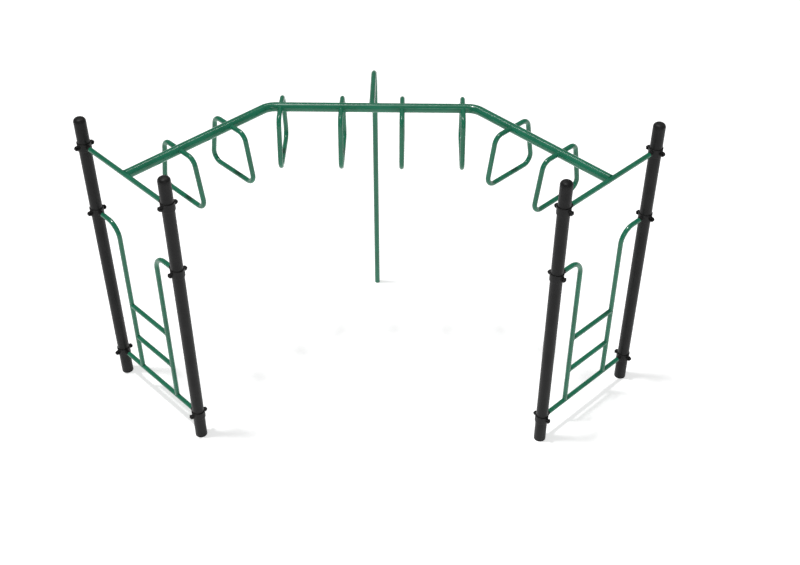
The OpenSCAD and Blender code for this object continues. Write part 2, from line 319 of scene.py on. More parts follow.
def build_orange_peel():
    """The fine dimples of a sprayed and baked powder coat, and a slow drift of its tone."""
    group, given, made = node_group(
        "orange_peel",
        [("Place", "Vector", None), ("Peel Size", "Float", 3.0)],
        [("Height", "Float"), ("Drift", "Float")],
    )
    place = given.outputs["Place"]
    scale = math_node(group, "DIVIDE", 1 / MM, given.outputs["Peel Size"])
    pit_scale = math_node(group, "MULTIPLY", scale, PIT_FINENESS)
    peel = noise(group, place, scale, detail=1.5, roughness=0.4)
    pits = noise(group, place, pit_scale, detail=0.0)
    drift = noise(group, place, DRIFT_SCALE, detail=3.0, roughness=0.55)
    height = math_node(group, "MULTIPLY_ADD", pits, PIT_SHARE, peel)
    link(group, height, made.inputs["Height"])
    link(group, drift, made.inputs["Drift"])
    return group


def build_settled_dust():
    """Dust that lies on what faces up, broken up by patches."""
    group, given, made = node_group(
        "settled_dust",
        [("Place", "Vector", None), ("Amount", "Float", 0.15)],
        [("Mask", "Float")],
    )
    facing = group.nodes.new("ShaderNodeNewGeometry")
    split = group.nodes.new("ShaderNodeSeparateXYZ")
    link(group, facing.outputs["Normal"], split.inputs[0])
    upward = band(group, split.outputs["Z"], *DUST_SLOPE)
    cloud = noise(group, given.outputs["Place"], DUST_PATCH_SCALE, detail=6.0, roughness=0.65)
    patches = band(group, cloud, *DUST_PATCH_BAND)
    mask = math_node(group, "MULTIPLY", upward, patches)
    link(group, math_node(group, "MULTIPLY", mask, given.outputs["Amount"]), made.inputs["Mask"])
    return group


def build_scuffs():
    """Short fine scratches that run every way, in a few patches."""
    group, given, made = node_group(
        "scuffs",
        [("Place", "Vector", None), ("Amount", "Float", 0.3)],
        [("Mask", "Float")],
    )
    total = None
    for stretch in SCRATCH_STRETCHES:
        warp = group.nodes.new("ShaderNodeMapping")
        warp.inputs["Scale"].default_value = stretch
        link(group, given.outputs["Place"], warp.inputs["Vector"])
        streaks = noise(group, warp.outputs["Vector"], 1.0, roughness=0.6)
        lines = band(group, streaks, *SCRATCH_BAND)
        total = lines if total is None else math_node(group, "MAXIMUM", total, lines)
    cloud = noise(group, given.outputs["Place"], SCUFF_PATCH_SCALE, detail=3.0)
    patches = band(group, cloud, *SCUFF_PATCH_BAND)
    mask = math_node(group, "MULTIPLY", total, patches)
    link(group, math_node(group, "MULTIPLY", mask, given.outputs["Amount"]), made.inputs["Mask"])
    return group


ORANGE_PEEL = build_orange_peel()
SETTLED_DUST = build_settled_dust()
SCUFFS = build_scuffs()


def place_group(tree, group, place, **values):
    """A shader group put into a material, with its own values for the named inputs."""
    node = tree.nodes.new("ShaderNodeGroup")
    node.node_tree = group
    link(tree, place, node.inputs["Place"])
    for label, value in values.items():
        node.inputs[label.replace("_", " ")].default_value = value
    return node


def mixed(tree, factor, first, second):
    """A colour between two colours; each is a socket or an RGB tuple."""
    node = tree.nodes.new("ShaderNodeMix")
    node.data_type = "RGBA"
    link(tree, factor, node.inputs[0])
    for socket, value in ((node.inputs[6], first), (node.inputs[7], second)):
        if isinstance(value, tuple):
            socket.default_value = (*value, 1)
        else:
            link(tree, value, socket)
    return node.outputs[2]


def powder_coat(name, deep, bright, worn, rough, gloss, coat, peel_size, peel_depth, dust, scuff):
    """A baked powder coat: two tones that drift, orange peel, dust on top and light scuffs."""
    material = bpy.data.materials.new(name)
    material.use_nodes = True
    tree = material.node_tree
    shader = tree.nodes["Principled BSDF"]
    place = tree.nodes.new("ShaderNodeTexCoord").outputs["Object"]
    peel = place_group(tree, ORANGE_PEEL, place, Peel_Size=peel_size)
    dusty = place_group(tree, SETTLED_DUST, place, Amount=dust)
    scuffed = place_group(tree, SCUFFS, place, Amount=scuff)
    drift = peel.outputs["Drift"]
    scuff_mask = scuffed.outputs["Mask"]
    dust_mask = dusty.outputs["Mask"]
    tone = mixed(tree, band(tree, drift, *DRIFT_BAND), deep, bright)
    tone = mixed(tree, scuff_mask, tone, worn)
    tone = mixed(tree, dust_mask, tone, DUST_COLOUR)
    link(tree, tone, shader.inputs["Base Color"])
    smoothest = rough - DRIFT_ROUGHNESS / 2
    roughness = math_node(tree, "MULTIPLY_ADD", drift, DRIFT_ROUGHNESS, smoothest)
    roughness = math_node(tree, "MULTIPLY_ADD", scuff_mask, SCUFF_ROUGHNESS, roughness)
    roughness = math_node(tree, "MULTIPLY_ADD", dust_mask, DUST_ROUGHNESS, roughness)
    link(tree, roughness, shader.inputs["Roughness"])
    shader.inputs["Specular IOR Level"].default_value = gloss
    shader.inputs["Coat Weight"].default_value = coat
    shader.inputs["Coat Roughness"].default_value = COAT_ROUGHNESS
    bump = tree.nodes.new("ShaderNodeBump")
    bump.inputs["Strength"].default_value = peel_depth
    bump.inputs["Distance"].default_value = PEEL_HEIGHT
    link(tree, peel.outputs["Height"], bump.inputs["Height"])
    link(tree, bump.outputs["Normal"], shader.inputs["Normal"])
    return material


def black_steel(name, colour, bright):
    """Blackened steel with a fine brushed grain and rubbed bright specks."""
    material = bpy.data.materials.new(name)
    material.use_nodes = True
    tree = material.node_tree
    shader = tree.nodes["Principled BSDF"]
    place = tree.nodes.new("ShaderNodeTexCoord").outputs["Object"]
    scuffed = place_group(tree, SCUFFS, place, Amount=STEEL_SCUFF)
    grain = noise(tree, place, GRAIN_SCALE, detail=3.0, roughness=0.6)
    tone = mixed(tree, scuffed.outputs["Mask"], colour, bright)
    link(tree, tone, shader.inputs["Base Color"])
    roughness = math_node(
        tree, "MULTIPLY_ADD", grain, STEEL_ROUGHNESS_SPREAD, STEEL_ROUGHNESS,
    )
    link(tree, roughness, shader.inputs["Roughness"])
    shader.inputs["Metallic"].default_value = STEEL_METALLIC
    bump = tree.nodes.new("ShaderNodeBump")
    bump.inputs["Strength"].default_value = GRAIN_DEPTH
    bump.inputs["Distance"].default_value = GRAIN_HEIGHT
    link(tree, grain, bump.inputs["Height"])
    link(tree, bump.outputs["Normal"], shader.inputs["Normal"])
    return material


GREEN_COAT = powder_coat(
    "green_powder_coat", (0.003, 0.128, 0.064), (0.005, 0.158, 0.083), (0.03, 0.25, 0.14),
    rough=0.24, gloss=0.32, coat=0.28, peel_size=2.6, peel_depth=0.08, dust=0.03, scuff=0.08,
)
CHARCOAL_COAT = powder_coat(
    "charcoal_powder_coat", (0.007, 0.007, 0.0072), (0.012, 0.012, 0.0123), (0.05, 0.05, 0.05),
    rough=0.42, gloss=0.15, coat=0.0, peel_size=1.9, peel_depth=0.22, dust=0.02, scuff=0.08,
)
CLAMP_COAT = powder_coat(
    "black_casting_coat", (0.004, 0.004, 0.0042), (0.007, 0.007, 0.0072), (0.04, 0.04, 0.04),
    rough=0.48, gloss=0.2, coat=0.0, peel_size=1.2, peel_depth=0.40, dust=0.03, scuff=0.15,
)
BLACK_STEEL = black_steel("black_fastener_steel", (0.012, 0.012, 0.0125), (0.10, 0.10, 0.105))


# ---------------------------------------------------------------- making pieces
class Shape:
    """Vertices and faces that are gathered before they become one piece."""

    def __init__(self):
        self.points = []
        self.faces = []

    def ring(self, points):
        first = len(self.points)
        self.points.extend(points)
        return list(range(first, len(self.points)))

    def bridge(self, lower, upper):
        count = len(lower)
        for i in range(count):
            j = (i + 1) % count
            self.faces.append((lower[i], lower[j], upper[j], upper[i]))

    def fill(self, ring):
        self.faces.append(tuple(ring))

    def add(self, other, matrix=None):
        """A copy of another shape, moved by a matrix if one is given."""
        matrix = matrix or Matrix.Identity(4)
        first = len(self.points)
        flip = matrix.determinant() < 0
        self.points.extend(matrix @ Vector(p) for p in other.points)
        for face in other.faces:
            moved = tuple(first + i for i in face)
            self.faces.append(moved[::-1] if flip else moved)


def piece(name, shape, material, slot, *nodes, sharp=SOFT_EDGE_ANGLE):
    """A finished piece of the object: smooth shaded, riding on the frame, in place of its nodes."""
    mesh = bpy.data.meshes.new(name)
    mesh.from_pydata([tuple(p) for p in shape.points], [], shape.faces)
    mesh.validate()
    tidy = bmesh.new()
    tidy.from_mesh(mesh)
    bmesh.ops.remove_doubles(tidy, verts=tidy.verts, dist=SAME_POINT)
    bmesh.ops.recalc_face_normals(tidy, faces=tidy.faces)
    tidy.to_mesh(mesh)
    tidy.free()
    mesh.materials.append(material)
    mesh.shade_smooth()
    mesh.set_sharp_from_angle(angle=math.radians(sharp))
    made = bpy.data.objects.new(name, mesh)
    bpy.context.scene.collection.objects.link(made)
    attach(made, "root")
    if nodes:
        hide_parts(*nodes)
    return made


def rounded(corners, bend, step=BEND_STEP):
    """Points and directions along a path of straight runs with round bends, step degrees apart."""
    track = [(corners[0], (corners[1] - corners[0]).normalized())]
    for before, here, after in zip(corners, corners[1:], corners[2:]):
        arriving = (here - before).normalized()
        leaving = (after - here).normalized()
        turn = arriving.angle(leaving)
        normal = arriving.cross(leaving).normalized()
        start = here - arriving * bend * math.tan(turn / 2)
        centre = start + normal.cross(arriving) * bend
        count = max(3, math.ceil(math.degrees(turn) / step))
        for i in range(count + 1):
            swing = Matrix.Rotation(turn * i / count, 3, normal)
            track.append((centre + swing @ (start - centre), swing @ arriving))
    track.append((corners[-1], (corners[-1] - corners[-2]).normalized()))
    return track


def cope(axis_point, axis_way, radius, limit=None):
    """Says how far a tube's wall runs before it meets another tube. limit ends it on a plane."""

    def travel(point, way):
        gap = point - axis_point
        across = way - axis_way * way.dot(axis_way)
        gap = gap - axis_way * gap.dot(axis_way)
        a, b, c = across.dot(across), gap.dot(across), gap.dot(gap) - radius * radius
        inside = b * b - a * c
        reach = -b / a if inside < 0 else (-b - math.sqrt(inside)) / a
        return min(reach, limit) if limit is not None else reach

    return travel


def tube(track, normal, radius, wall, start=None, end=None, sides=TUBE_SIDES):
    """A bent tube with a real wall. start and end are copes, or None for a square cut."""
    shape = Shape()
    rings = {radius: [], radius - wall: []}
    last = len(track) - 1
    for size, made in rings.items():
        for i, (centre, way) in enumerate(track):
            side = way.cross(normal).normalized()
            points = []
            for k in range(sides):
                angle = 2 * math.pi * k / sides
                point = centre + (side * math.cos(angle) + normal * math.sin(angle)) * size
                if i == 0 and start:
                    point = point - way * start(point, -way)
                if i == last and end:
                    point = point + way * end(point, way)
                points.append(point)
            made.append(shape.ring(points))
    outer, inner = rings[radius], rings[radius - wall]
    for made in (outer, inner):
        for a, b in zip(made, made[1:]):
            shape.bridge(a, b)
    shape.bridge(outer[0], inner[0])
    shape.bridge(outer[-1], inner[-1])
    return shape


def turned(profile, centre, sides=POST_SIDES, form=None):
    """A turned shape about a vertical axis through centre, from (radius, height) points."""
    shape = Shape()
    rings = []
    for radius, height in profile:
        points = []
        for k in range(sides):
            angle = 2 * math.pi * k / sides
            reach = form(angle, radius) if form else radius
            spot = Vector((reach * math.cos(angle), reach * math.sin(angle), height))
            points.append(centre + spot)
        rings.append(shape.ring(points))
    for a, b in zip(rings, rings[1:]):
        shape.bridge(a, b)
    return shape, rings


def arc(centre_r, centre_z, radius, first, last, count):
    """Profile points on an arc, with angles from the outward direction towards up."""
    points = []
    for i in range(count + 1):
        angle = math.radians(first + (last - first) * i / count)
        points.append((centre_r + radius * math.cos(angle), centre_z + radius * math.sin(angle)))
    return points


def bead(line, outward):
    """A closed rippled weld bead that follows a line; outward says which way it bulges."""
    steps = [(line[k] - line[k - 1]).length for k in range(len(line))]
    spots = [sum(steps[1:k + 1]) for k in range(len(line))]
    length = spots[-1] + steps[0]
    count = max(8, round(length / WELD_RIPPLE)) * WELD_BEAT
    shape = Shape()
    rings = []
    here = 0
    for k in range(count):
        spot = length * k / count
        while here + 1 < len(line) and spots[here + 1] <= spot:
            here += 1
        after = (here + 1) % len(line)
        share = (spot - spots[here]) / max(steps[after], 1e-9)
        point = line[here].lerp(line[after], min(share, 1))
        along = (line[after] - line[here]).normalized()
        bulge = outward[here].lerp(outward[after], min(share, 1))
        bulge = (bulge - along * bulge.dot(along)).normalized()
        across = along.cross(bulge)
        beat = math.sin(math.pi * (k % WELD_BEAT) / WELD_BEAT)
        swell = 1 - WELD_SWELL + WELD_SWELL * beat
        ring = []
        for j in range(WELD_SIDES):
            turn = 2 * math.pi * j / WELD_SIDES
            offset = bulge * math.sin(turn) * WELD_FLATNESS + across * math.cos(turn)
            ring.append(point + offset * WELD_RADIUS * swell)
        rings.append(shape.ring(ring))
    for a, b in zip(rings, rings[1:] + rings[:1]):
        shape.bridge(a, b)
    return shape


def weld(end_point, way, normal, radius, other_point, other_way, other_radius):
    """The bead where a tube that runs along way meets the wall of another tube."""
    side = way.cross(normal).normalized()
    travel = cope(other_point, other_way, other_radius)
    line, outward = [], []
    for k in range(WELD_SAMPLES):
        angle = 2 * math.pi * k / WELD_SAMPLES
        around = side * math.cos(angle) + normal * math.sin(angle)
        point = end_point + around * radius
        point = point + way * travel(point, way)
        line.append(point)
        outward.append(around - way)
    return bead(line, outward)


# ---------------------------------------------------------------- posts and caps
def make_posts():
    for (side, place), foot in post_at.items():
        inner = post_radius - POST_WALL
        profile = [
            (inner, post_top),
            (inner, POST_FOOT_INNER_CHAMFER), (inner + POST_FOOT_INNER_CHAMFER, 0),
            (post_radius - POST_FOOT_CHAMFER, 0), (post_radius, POST_FOOT_CHAMFER),
            (post_radius, post_top - SEAM), (post_radius - SEAM, post_top), (inner, post_top),
        ]
        shape = turned(profile, foot)[0]
        label = f"{side}_{place}"
        piece(f"post_tube_{label}", shape, CHARCOAL_COAT, "post_coat", f"post_{label}")


def make_caps():
    edge_centre = post_radius - CAP_EDGE
    slope = math.radians(CAP_CROWN_ANGLE)
    crown = edge_centre / math.sin(slope) + CAP_EDGE
    crown_drop = edge_centre / math.tan(slope)
    meet = 90 - CAP_CROWN_ANGLE
    profile = [
        (CAP_UNDERSIDE * post_radius, CAP_UNDERSIDE_LIFT),
        (post_radius - SEAM, 0.0), (post_radius, SEAM),
    ]
    profile += arc(edge_centre, CAP_BAND, CAP_EDGE, 0, meet, CAP_EDGE_STEPS)
    profile += arc(0, CAP_BAND - crown_drop, crown, meet, CAP_TIP_ANGLE, CAP_CROWN_STEPS)[1:]
    for (side, place), foot in post_at.items():
        shape, rings = turned(profile, flat(foot, post_top))
        shape.fill(rings[-1])
        shape.fill(rings[0])
        piece(f"cap_{side}_{place}", shape, CHARCOAL_COAT, "cap_coat", f"post_cap_{side}_{place}")


# ---------------------------------------------------------------- beam, loops, support
def end_plate(centre, way, radius):
    """The plate that closes a beam end, with a small chamfer; way points out of the beam."""
    side = way.cross(UP)
    shape = Shape()
    rings = []
    for size, depth in ((radius, BEAM_WALL), (radius, PLATE_CHAMFER), (radius - PLATE_CHAMFER, 0)):
        points = []
        for k in range(BEAM_SIDES):
            angle = 2 * math.pi * k / BEAM_SIDES
            around = side * math.cos(angle) + UP * math.sin(angle)
            points.append(centre + around * size - way * depth)
        rings.append(shape.ring(points))
    for a, b in zip(rings, rings[1:]):
        shape.bridge(a, b)
    shape.fill(rings[0])
    shape.fill(rings[-1])
    return shape


def beam_end_weld(end):
    """The bead around the place where the top bar lies in the notched end of the beam."""
    bar_z = level_z["top"]
    widest = math.acos(BEAM_END_GAP / tube_radius)
    line, outward = [], []

    def add(turn, share):
        height = tube_radius * math.sin(turn)
        half = math.sqrt(beam_radius ** 2 - (bar_z + height - beam_z) ** 2)
        point = end.at(share * half, bar_z + height) - end.out * tube_radius * math.cos(turn)
        line.append(point)
        away = UP * math.sin(turn) - end.out * math.cos(turn)
        outward.append(away + end.across * share + end.out * (1 - abs(share)))

    turns = [widest * (2 * k / WELD_STEPS - 1) for k in range(WELD_STEPS)]
    shares = [1 - 2 * k / WELD_STEPS for k in range(WELD_STEPS)]
    for turn in turns:
        add(turn, 1)
    for share in shares:
        add(widest, share)
    for turn in turns:
        add(-turn, -1)
    for share in shares:
        add(-widest, -share)
    return bead(line, outward)


def make_beam():
    left, right = ends["left"], ends["right"]
    corners = [
        flat(left.middle - left.out * BEAM_END_GAP, beam_z), left.corner(),
        right.corner(), flat(right.middle - right.out * BEAM_END_GAP, beam_z),
    ]
    track = rounded(corners, BEAM_BEND, BEAM_BEND_STEP)
    copes = [
        cope(end.at(0, level_z["top"]), end.across, tube_radius + WELD_GAP, limit=0.0)
        for end in (left, right)
    ]
    shape = tube(track, UP, beam_radius, BEAM_WALL, copes[0], copes[1], sides=BEAM_SIDES)
    for end in (left, right):
        face = flat(end.middle - end.out * BEAM_END_GAP, beam_z)
        shape.add(end_plate(face, end.out, beam_radius - PLATE_INSET))
        shape.add(beam_end_weld(end))
    piece("beam", shape, GREEN_COAT, "tube_coat", "overhead_beam")


def loop_frame(i):
    """The middle of a loop on the beam's centreline, and the way along the beam there."""
    centre = middle(f"hand_loop_{i}")
    at = flat(centre, beam_z)
    for end in ends.values():
        if abs(at.x) > abs(end.corner().x) and at.x * end.middle.x > 0:
            return at, end.out
    return at, Vector((1, 0, 0))


def make_loops():
    for i in LOOPS:
        at, along = loop_frame(i)
        across = UP.cross(along).normalized()
        top, grip, drop = across * LOOP_TOP_WIDTH / 2, across * LOOP_GRIP_WIDTH / 2, UP * LOOP_DROP
        corners = [at, at + top, at + grip - drop, at - grip - drop, at - top, at]
        track = rounded(corners, LOOP_BEND)
        seat = cope(at, along, beam_radius + WELD_GAP)
        shape = tube(track, along, tube_radius, TUBE_WALL, seat, seat)
        for way in (across, -across):
            shape.add(weld(at, way, along, tube_radius, at, along, beam_radius))
        piece(f"loop_{i}", shape, GREEN_COAT, "tube_coat", f"hand_loop_{i}")


def make_support():
    foot = flat(middle("centre_support"), 0)
    foot.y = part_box("centre_support")[1].y - support_radius
    head = Vector((foot.x, beam_y, beam_z))
    track = rounded([foot, flat(foot, beam_z), head], SUPPORT_BEND, SUPPORT_BEND_STEP)
    way, axis = Vector((0, -1, 0)), Vector((1, 0, 0))
    seat = cope(head, axis, beam_radius + WELD_GAP)
    shape = tube(track, axis, support_radius, SUPPORT_WALL, end=seat)
    shape.add(weld(head, way, axis, support_radius, head, axis, beam_radius))
    piece("support_pole", shape, GREEN_COAT, "tube_coat", "centre_support")


# ---------------------------------------------------------------- end ladders
def level_bar(end, name, level, node):
    reach = end.half - tube_seat
    track = rounded([end.at(-reach, level_z[level]), end.at(reach, level_z[level])], 1)
    shape = tube(track, UP, tube_radius, TUBE_WALL)
    piece(f"{name}_{end.side}", shape, GREEN_COAT, "tube_coat", node)


def make_rail(end, place):
    """An upright that stands on the foot bar and turns level into its clamp."""
    inward = end.inward(place)
    sign = inward.dot(end.across)
    upright = -sign * rail_half
    foot = end.at(upright, level_z["bottom"])
    top = end.at(upright, level_z["middle"])
    arm = end.at(-sign * (end.half - tube_seat), level_z["middle"])
    track = rounded([foot, top, arm], RAIL_BEND)
    seat = cope(foot, end.across, tube_radius + WELD_GAP)
    shape = tube(track, end.out, tube_radius, TUBE_WALL, start=seat)
    shape.add(weld(foot, -UP, end.out, tube_radius, foot, end.across, tube_radius))
    label = f"{end.side}_{place}"
    piece(f"rail_tube_{label}", shape, GREEN_COAT, "tube_coat", f"rail_{label}")


def make_rung(end, row):
    node = f"rung_{end.side}_{row}"
    z = middle(node).z
    first, last = end.at(-rail_half, z), end.at(rail_half, z)
    seats = [cope(point, UP, tube_radius + WELD_GAP) for point in (first, last)]
    shape = tube(rounded([first, last], 1), UP, tube_radius, TUBE_WALL, *seats)
    for point, way in ((first, -end.across), (last, end.across)):
        shape.add(weld(point, way, UP, tube_radius, point, UP, tube_radius))
    piece(f"rung_tube_{end.side}_{row}", shape, GREEN_COAT, "tube_coat", node)


def make_ladders():
    for end in ends.values():
        level_bar(end, "top_tube", "top", f"top_bar_{end.side}")
        level_bar(end, "foot_tube", "bottom", f"foot_bar_{end.side}")
        for place in PLACES:
            make_rail(end, place)
        for row in ("lower", "upper"):
            make_rung(end, row)


# ---------------------------------------------------------------- clamps
def clamp_frame(side, place, level):
    """X along the tube, away from the post, and the lugs along Y."""
    forward = ends[side].inward(place)
    across = UP.cross(forward)
    matrix = Matrix((forward, across, UP)).transposed().to_4x4()
    matrix.translation = flat(post_at[side, place], level_z[level])
    return matrix


clamp_frames = {
    (side, place, level): clamp_frame(side, place, level)
    for side in SIDES for place in PLACES for level in LEVELS
}


def half_collar():
    """Half of the ring, on the side of +X, with rounded outer edges."""
    inner, edge = post_radius + SLIDE_FIT, CLAMP_WALL / 3
    top = CLAMP_HEIGHT / 2
    section = [(inner, -top), (inner, top)]
    section += arc(collar_radius - edge, top - edge, edge, 90, 0, COLLAR_EDGE_STEPS)
    section += arc(collar_radius - edge, edge - top, edge, 0, -90, COLLAR_EDGE_STEPS)
    shape = Shape()
    rings = []
    widest = math.acos(CLAMP_SPLIT / 2 / inner)
    for k in range(COLLAR_STEPS + 1):
        angle = widest * (2 * k / COLLAR_STEPS - 1)
        points = [Vector((r * math.cos(angle), r * math.sin(angle), z)) for r, z in section]
        rings.append(shape.ring(points))
    for a, b in zip(rings, rings[1:]):
        shape.bridge(a, b)
    shape.fill(rings[0])
    shape.fill(rings[-1])
    return shape


def half_lug(sign):
    """One bolt lug of a half: a round eye that runs back into the collar."""
    shape = Shape()
    rings = []
    root = (post_radius + CLAMP_WALL / 2) * sign
    depths = ((CLAMP_SPLIT / 2, 0), (lug_face - LUG_CHAMFER, 0), (lug_face, LUG_CHAMFER))
    for x, inset in depths:
        radius = LUG_RADIUS - inset
        points = [Vector((x, root, -radius))]
        for k in range(LUG_STEPS + 1):
            angle = math.pi * (k / LUG_STEPS - 0.5)
            y = bolt_distance + radius * math.cos(angle)
            points.append(Vector((x, y * sign, radius * math.sin(angle))))
        points.append(Vector((x, root, radius)))
        rings.append(shape.ring(points))
    for a, b in zip(rings, rings[1:]):
        shape.bridge(a, b)
    shape.fill(rings[0])
    shape.fill(rings[-1])
    return shape


def boss():
    """The round boss that the tube end meets, with the spigot that goes inside the tube."""
    spigot = tube_radius - TUBE_WALL - SLIDE_FIT - SPIGOT_INSET
    rim = tube_radius + BOSS_RIM
    profile = [
        (rim, post_radius + CLAMP_WALL / 2), (rim, boss_face - EDGE), (rim - EDGE, boss_face),
        (spigot, boss_face), (spigot, boss_face + SPIGOT_LENGTH - EDGE),
        (spigot - EDGE, boss_face + SPIGOT_LENGTH),
    ]
    shape, rings = turned(profile, ORIGIN, SMALL_SIDES)
    shape.fill(rings[0])
    shape.fill(rings[-1])
    level = Shape()
    level.add(shape, Matrix.Rotation(math.pi / 2, 4, "Y"))
    return level


def cast(name, parts):
    """One casting from overlapping shapes, with soft fillets where they meet."""
    whole = Shape()
    for part in parts:
        whole.add(part)
    mesh = bpy.data.meshes.new(name)
    mesh.from_pydata([tuple(p) for p in whole.points], [], whole.faces)
    blank = bpy.data.objects.new(name, mesh)
    bpy.context.scene.collection.objects.link(blank)
    remesh = blank.modifiers.new("blend", "REMESH")
    remesh.mode = "VOXEL"
    remesh.voxel_size = CAST_VOXEL
    soften = blank.modifiers.new("soften", "SMOOTH")
    soften.factor = 0.5
    soften.iterations = CAST_SOFTENING
    thin = blank.modifiers.new("thin", "DECIMATE")
    thin.ratio = CAST_DENSITY
    bpy.context.view_layer.update()
    made = blank.evaluated_get(bpy.context.evaluated_depsgraph_get()).to_mesh()
    shape = Shape()
    shape.points = [v.co.copy() for v in made.vertices]
    shape.faces = [tuple(p.vertices) for p in made.polygons]
    bpy.data.objects.remove(blank)
    return shape


def make_clamps():
    lugs = [half_lug(1), half_lug(-1)]
    castings = {
        "inner": cast("inner_casting", [half_collar(), boss()] + lugs),
        "outer": cast("outer_casting", [half_collar()] + lugs),
    }
    turn = {"inner": Matrix.Identity(4), "outer": Matrix.Rotation(math.pi, 4, "Z")}
    for (side, place, level), matrix in clamp_frames.items():
        for half, casting in castings.items():
            shape = Shape()
            shape.add(casting, matrix @ turn[half])
            label = f"{side}_{place}_{level}_{half}"
            piece(f"clamp_casting_{label}", shape, CLAMP_COAT, "clamp_coat", f"clamp_{label}")


# ---------------------------------------------------------------- fasteners
def hexagon(flat_radius):
    """A form for turned(): a hexagon, cut back to a circle where the profile is smaller."""

    def form(angle, radius):
        step = math.pi / 3
        return min(radius, flat_radius / math.cos((angle + step / 2) % step - step / 2))

    return form


def dome_profile(radius, height, base, count):
    """A shallow dome, from its rim up to just short of its top."""
    ball = (radius * radius + height * height) / (2 * height)
    widest = math.asin(min(1, radius / ball))
    points = []
    for k in range(count):
        angle = widest * (1 - k / count)
        points.append((ball * math.sin(angle), base + height - ball * (1 - math.cos(angle))))
    return points


def join(shape, ring, other, other_ring):
    """Adds another shape, and the strip of faces from a ring of the first to one of its rings."""
    strip = Shape()
    near = strip.ring([shape.points[k] for k in ring])
    far = strip.ring([other.points[k] for k in other_ring])
    strip.bridge(near, far)
    shape.add(other)
    shape.add(strip)


def bolt_shape():
    """A domed head with a hexagon socket, above its shank, along +Z."""
    dome = dome_profile(BOLT_HEAD_RADIUS, BOLT_HEAD_HEIGHT, 0, BOLT_DOME_STEPS)
    dome = [point for point in dome if point[0] > SOCKET_MOUTH]
    length = 2 * lug_face + WASHER_THICKNESS + NUT_HEIGHT / 2
    profile = [
        (BOLT_RADIUS - EDGE, -length), (BOLT_RADIUS, EDGE - length),
        (BOLT_RADIUS, -BOLT_HEAD_SEAT), (BOLT_HEAD_RADIUS - BOLT_HEAD_RIM, 0),
    ]
    shape, rings = turned(profile + dome, ORIGIN, BOLT_SIDES)
    shape.fill(rings[0])
    well = [(SOCKET_MOUTH, dome[-1][1]), (SOCKET_CORNER, SOCKET_TOP), (SOCKET_CORNER, SOCKET_FLOOR)]
    hollow, hollow_rings = turned(well, ORIGIN, BOLT_SIDES, hexagon(SOCKET_FLAT))
    hollow.fill(hollow_rings[-1])
    join(shape, rings[-1], hollow, hollow_rings[0])
    return shape


def nut_shape():
    """A cap nut: a hexagon with turned corners, and its round cap, along +Z."""
    corner = NUT_FLAT / math.cos(math.pi / 6)
    body = [
        (NUT_FLAT - EDGE, 0), (corner - NUT_FOOT_CUT, NUT_FOOT_RISE), (corner, NUT_FOOT_TOP),
        (corner, NUT_HEIGHT - NUT_SHOULDER), (NUT_FLAT, NUT_HEIGHT - NUT_SHOULDER_TOP),
    ]
    shape, rings = turned(body, ORIGIN, SMALL_SIDES, hexagon(NUT_FLAT))
    cap_radius = NUT_FLAT - NUT_CAP_INSET
    cap = [(cap_radius, NUT_HEIGHT)]
    cap += dome_profile(cap_radius, NUT_CAP, NUT_HEIGHT + EDGE, NUT_DOME_STEPS)
    dome, dome_rings = turned(cap, ORIGIN, SMALL_SIDES)
    dome.fill(dome_rings[-1])
    shape.fill(rings[0])
    join(shape, rings[-1], dome, dome_rings[0])
    return shape


def washer_shape():
    """A flat washer with broken outer edges, along +Z."""
    hole = BOLT_RADIUS + WASHER_FIT
    face = WASHER_RADIUS - WASHER_EDGE
    profile = [
        (hole, 0), (face, 0), (WASHER_RADIUS, WASHER_EDGE),
        (WASHER_RADIUS, WASHER_THICKNESS - WASHER_EDGE), (face, WASHER_THICKNESS),
        (hole, WASHER_THICKNESS), (hole, 0),
    ]
    return turned(profile, ORIGIN, SMALL_SIDES)[0]


def rivet_shape():
    """A low domed head with a short shank below it, along +Z."""
    foot = RIVET_HEAD_RADIUS - RIVET_HEAD_RIM
    profile = [(RIVET_SHANK, -RIVET_DEPTH), (RIVET_SHANK, 0), (foot, 0)]
    profile += dome_profile(RIVET_HEAD_RADIUS, RIVET_HEAD_RADIUS / 2, 0, RIVET_DOME_STEPS)
    shape, rings = turned(profile, ORIGIN, RIVET_SIDES)
    shape.fill(rings[0])
    shape.fill(rings[-1])
    return shape


def make_bolts():
    bolts, washers, nuts = Shape(), Shape(), Shape()
    to_x = Matrix.Rotation(math.pi / 2, 4, "Y")
    from_x = Matrix.Rotation(-math.pi / 2, 4, "Y")
    for matrix in clamp_frames.values():
        for y in (-bolt_distance, bolt_distance):
            outer = matrix @ Matrix.Translation((-lug_face, y, 0)) @ from_x
            inner = matrix @ Matrix.Translation((lug_face, y, 0)) @ to_x
            bolts.add(bolt_shape(), outer)
            washers.add(washer_shape(), inner)
            nuts.add(nut_shape(), inner @ Matrix.Translation((0, 0, WASHER_THICKNESS)))
    for name, shape, node in (
        ("bolts", bolts, "clamp_bolts"), ("washers", washers, "clamp_washers"),
        ("cap_nuts", nuts, "clamp_nuts"),
    ):
        piece(name, shape, BLACK_STEEL, "fastener_finish", node, sharp=FASTENER_EDGE_ANGLE)


def make_rivets():
    pins, rivets = Shape(), Shape()
    under = Matrix.Rotation(math.pi, 4, "X")
    for matrix in clamp_frames.values():
        place = Matrix.Translation((tube_seat + SPIGOT_LENGTH / 2, 0, -tube_radius))
        pins.add(rivet_shape(), matrix @ place @ under)
    away = Matrix.Rotation(-math.pi / 2, 4, "Y")
    for side in SIDES:
        for place in PLACES:
            matrix = clamp_frames[side, place, "top"].copy()
            matrix.translation.z = post_top - CAP_SKIRT / 2
            rivets.add(rivet_shape(), matrix @ Matrix.Translation((-post_radius, 0, 0)) @ away)
    piece("tube_pins", pins, GREEN_COAT, "tube_coat", "tube_rivets")
    piece("cap_fixings", rivets, CHARCOAL_COAT, "cap_coat", "cap_rivets")


